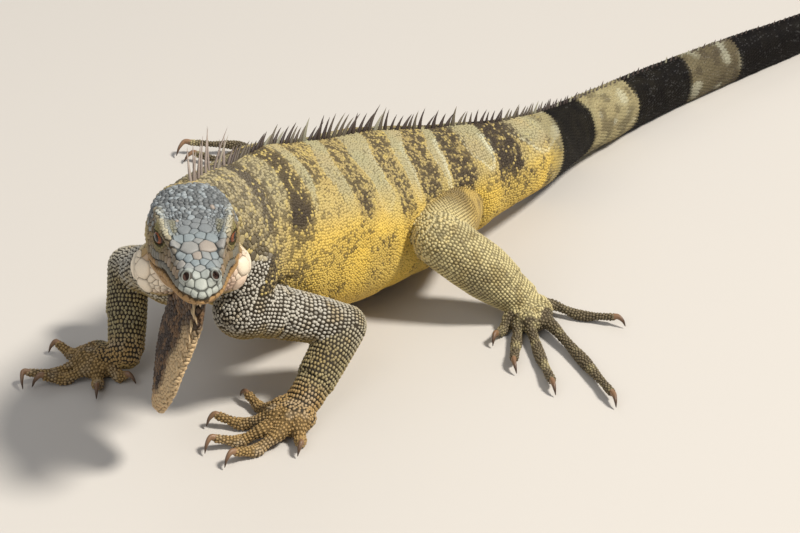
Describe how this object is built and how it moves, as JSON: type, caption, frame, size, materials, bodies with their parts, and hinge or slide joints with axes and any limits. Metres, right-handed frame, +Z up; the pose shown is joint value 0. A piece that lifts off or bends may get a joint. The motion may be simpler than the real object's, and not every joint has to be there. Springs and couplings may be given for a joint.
{
  "type": "iguana",
  "caption": "Life-size adult male green iguana, standing alert on spread feet, its head turned to its left and its long tail laid back in a soft curve.",
  "frame": {"origin": "on the floor under the middle of the whole animal, the bottom centre of its box", "axes": "+Z up; +Y from the shoulders to the end of the tail, the animal facing -Y; +X to its left"},
  "size_m": [0.4158, 1.3798, 0.1609],
  "materials": {
    "head_scales": "satin",
    "body_scales": "satin",
    "tail_scales": "satin",
    "limb_scales": "satin",
    "dewlap_skin": "satin",
    "eye": "gloss",
    "claw": "satin"
  },
  "bodies": {
    "root": {"neck": "body_scales", "torso_front": "body_scales", "torso_middle": "body_scales", "torso_rear": "body_scales", "tail_root": "tail_scales", "tail_second": "tail_scales", "tail_third": "tail_scales", "tail_fourth": "tail_scales", "tail_fifth": "tail_scales", "tail_sixth": "tail_scales", "tail_end": "tail_scales", "head": "head_scales", "eye_left": "eye", "eye_right": "eye", "dewlap": "dewlap_skin", "upper_arm_left": "limb_scales", "forearm_left": "limb_scales", "claw_hand_left_1": "claw", "claw_hand_left_2": "claw", "claw_hand_left_3": "claw", "claw_hand_left_4": "claw", "claw_hand_left_5": "claw", "hand_left": "limb_scales", "thigh_left": "limb_scales", "shank_left": "limb_scales", "claw_foot_left_1": "claw", "claw_foot_left_2": "claw", "claw_foot_left_3": "claw", "claw_foot_left_4": "claw", "claw_foot_left_5": "claw", "foot_left": "limb_scales", "upper_arm_right": "limb_scales", "forearm_right": "limb_scales", "claw_hand_right_1": "claw", "claw_hand_right_2": "claw", "claw_hand_right_3": "claw", "claw_hand_right_4": "claw", "claw_hand_right_5": "claw", "hand_right": "limb_scales", "thigh_right": "limb_scales", "shank_right": "limb_scales", "claw_foot_right_1": "claw", "claw_foot_right_2": "claw", "claw_foot_right_3": "claw", "claw_foot_right_4": "claw", "claw_foot_right_5": "claw", "foot_right": "limb_scales"}
  },
  "joints": []
}
